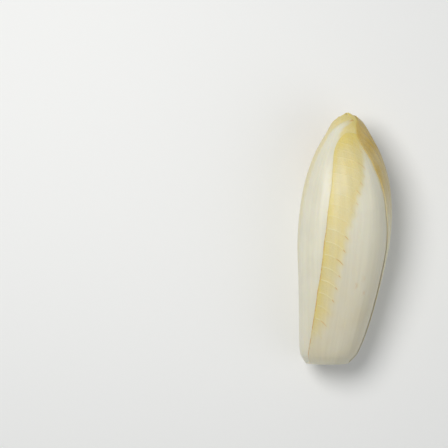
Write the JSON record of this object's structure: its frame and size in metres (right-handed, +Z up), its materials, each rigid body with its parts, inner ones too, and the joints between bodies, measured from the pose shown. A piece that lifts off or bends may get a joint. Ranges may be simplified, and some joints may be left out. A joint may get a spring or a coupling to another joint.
{
  "type": "belgian endive",
  "caption": "Head of Belgian endive: pale leaves wrapped tightly round a short cut core, lying on its side, pointed at one end.",
  "frame": {"origin": "middle of the footprint's bounding box, on the surface that the head lies on", "axes": "+Y along the head from the cut base to the tip, +Z up, +X to the right seen from above with the tip pointing away"},
  "size_m": [0.0568, 0.1488, 0.0521],
  "materials": {
    "outer_leaf": "waxy satin, cream white with yellow thin parts",
    "inner_leaf": "waxy satin, pale yellow",
    "core": "matt, freshly cut, slightly browned"
  },
  "bodies": {
    "root": {"core": "core", "outer_leaf_right": "outer_leaf", "outer_leaf_front": "outer_leaf", "outer_leaf_left": "outer_leaf", "outer_leaf_back": "outer_leaf", "middle_leaf_1": "inner_leaf", "middle_leaf_2": "inner_leaf", "middle_leaf_3": "inner_leaf", "middle_leaf_4": "inner_leaf", "middle_leaf_5": "inner_leaf", "middle_leaf_6": "inner_leaf", "heart_leaf_1": "inner_leaf", "heart_leaf_2": "inner_leaf", "heart_leaf_3": "inner_leaf", "heart_leaf_4": "inner_leaf", "heart_leaf_5": "inner_leaf", "heart_bud": "inner_leaf"}
  },
  "joints": []
}
